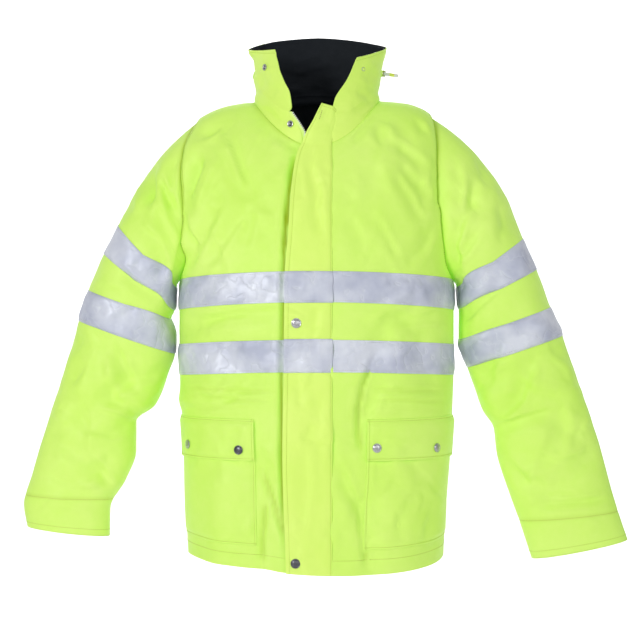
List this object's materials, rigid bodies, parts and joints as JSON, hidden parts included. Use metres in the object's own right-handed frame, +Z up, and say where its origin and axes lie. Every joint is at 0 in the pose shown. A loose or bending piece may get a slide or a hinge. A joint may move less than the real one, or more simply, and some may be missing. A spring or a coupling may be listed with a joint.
{
  "type": "hi-vis work jacket",
  "caption": "High-visibility work jacket filled out with no wearer: stand collar, storm flap over a front zip, flapped patch pockets, reflective tape bands and arms hanging.",
  "frame": {"origin": "middle of the neck opening at the height where the collar meets the shoulder seams", "axes": "+Z up, the front faces -Y, +X towards the wearer's left sleeve"},
  "size_m": [1.013, 0.3047, 0.901],
  "materials": {
    "hi_vis_cloth": "satin coated fluorescent yellow-green polyester",
    "reflective_tape": "glossy crinkled silver-lavender retroreflective film",
    "dark_lining": "matte near-black navy lining",
    "white_plastic": "moulded plastic",
    "snap_metal": "polished nickel",
    "dark_snap_metal": "dark gunmetal"
  },
  "bodies": {
    "jacket": {"front_right": "hi_vis_cloth", "front_left": "hi_vis_cloth", "back": "hi_vis_cloth", "sleeve_right": "hi_vis_cloth", "sleeve_left": "hi_vis_cloth", "collar": "hi_vis_cloth", "storm_flap": "hi_vis_cloth", "collar_lining": "dark_lining", "back_lining": "dark_lining", "zip_right": "white_plastic", "zip_left": "white_plastic", "zip_slider": "white_plastic", "zip_pull": "white_plastic", "hood_zip": "hi_vis_cloth", "hood_zip_slider": "snap_metal", "pocket_right": "hi_vis_cloth", "pocket_left": "hi_vis_cloth", "pocket_flap_right": "hi_vis_cloth", "pocket_flap_left": "hi_vis_cloth", "tape_upper_front_right": "reflective_tape", "tape_upper_flap": "reflective_tape", "tape_upper_front_left": "reflective_tape", "tape_upper_back": "reflective_tape", "tape_lower_front_right": "reflective_tape", "tape_lower_flap": "reflective_tape", "tape_lower_front_left": "reflective_tape", "tape_lower_back": "reflective_tape", "tape_sleeve_right_upper": "reflective_tape", "tape_sleeve_right_lower": "reflective_tape", "tape_sleeve_left_upper": "reflective_tape", "tape_sleeve_left_lower": "reflective_tape", "snap_flap_upper": "snap_metal", "snap_flap_lower": "dark_snap_metal", "snap_pocket_right_inner": "snap_metal", "snap_pocket_right_outer": "snap_metal", "snap_pocket_left_inner": "snap_metal", "snap_pocket_left_outer": "snap_metal", "stud_collar_upper": "snap_metal", "stud_collar_lower": "snap_metal", "snap_collar_left": "snap_metal"},
    "hood_zip_pull_tab": {"hood_zip_pull": "white_plastic"}
  },
  "joints": [
    {"name": "hood_zip_pull_swing", "type": "hinge", "parent": "jacket", "child": "hood_zip_pull_tab", "pos_m": [0.11511, 0.0051, 0.04567], "axis": [0.13, 0.0195, 0.9913], "range_deg": [-80, 80]}
  ]
}
